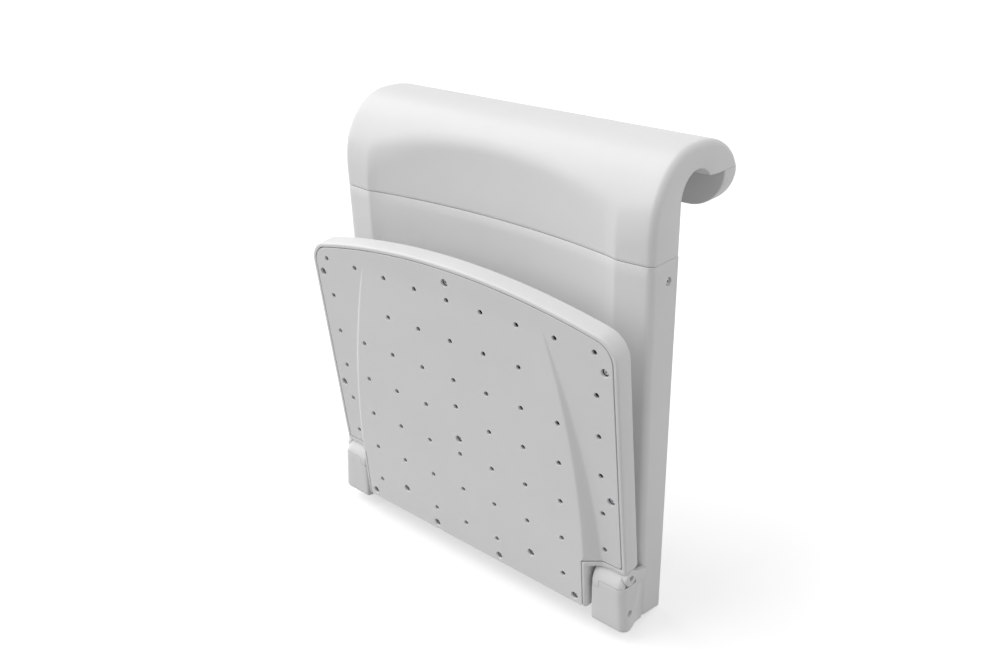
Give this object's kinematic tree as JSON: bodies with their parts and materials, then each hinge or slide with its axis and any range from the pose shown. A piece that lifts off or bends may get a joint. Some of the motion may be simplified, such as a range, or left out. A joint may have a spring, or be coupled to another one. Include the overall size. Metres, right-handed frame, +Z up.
{
  "type": "rail-hung folding shower seat with backrest",
  "caption": "Folding shower seat and backrest that hooks over a wall rail; the perforated seat panel folds down from a hinge at the foot of the curved back panel.",
  "frame": {"origin": "middle of the axis of the rail that the hook hangs on", "axes": "+X along the rail, +Y back to the wall, +Z up; the seat is folded up in front"},
  "size_m": [0.42, 0.1942, 0.4895],
  "materials": {
    "white_shell": "satin moulded",
    "white_cast": "satin paint",
    "frame_metal": "satin",
    "grey_rubber": "matte",
    "grey_plastic": "matte",
    "bright_steel": "bright"
  },
  "bodies": {
    "back": {"back_shell": "white_shell", "hook_cover": "white_shell", "hook_lip": "white_shell", "rear_cover": "white_shell", "upright_right": "frame_metal", "upright_left": "frame_metal", "hook_bracket_right": "frame_metal", "hook_bracket_left": "frame_metal", "cross_bar": "frame_metal", "stop_bar": "frame_metal", "stop_pads": "grey_rubber", "rail_pad_right": "grey_plastic", "rail_pad_left": "grey_plastic", "wall_strut_right": "frame_metal", "wall_strut_left": "frame_metal", "wall_buffer_right": "grey_rubber", "wall_buffer_left": "grey_rubber", "hinge_housing_right": "white_cast", "hinge_housing_left": "white_cast", "hinge_lug_right": "frame_metal", "hinge_lug_left": "frame_metal", "hinge_pin_right": "bright_steel", "hinge_pin_left": "bright_steel", "side_screws": "bright_steel", "housing_screws": "bright_steel", "rear_cover_screws": "bright_steel"},
    "seat": {"seat_top_shell": "white_shell", "seat_bottom_cover": "white_shell", "seat_arm_right": "frame_metal", "seat_arm_left": "frame_metal", "hinge_bush_right": "grey_plastic", "hinge_bush_left": "grey_plastic", "seat_cross_tube": "frame_metal", "seat_cover_screws": "bright_steel"}
  },
  "joints": [
    {"name": "seat_fold", "type": "hinge", "parent": "back", "child": "seat", "pos_m": [0, -0.0846, -0.367], "axis": [1, 0, 0], "range_deg": [0, 83.8]}
  ]
}
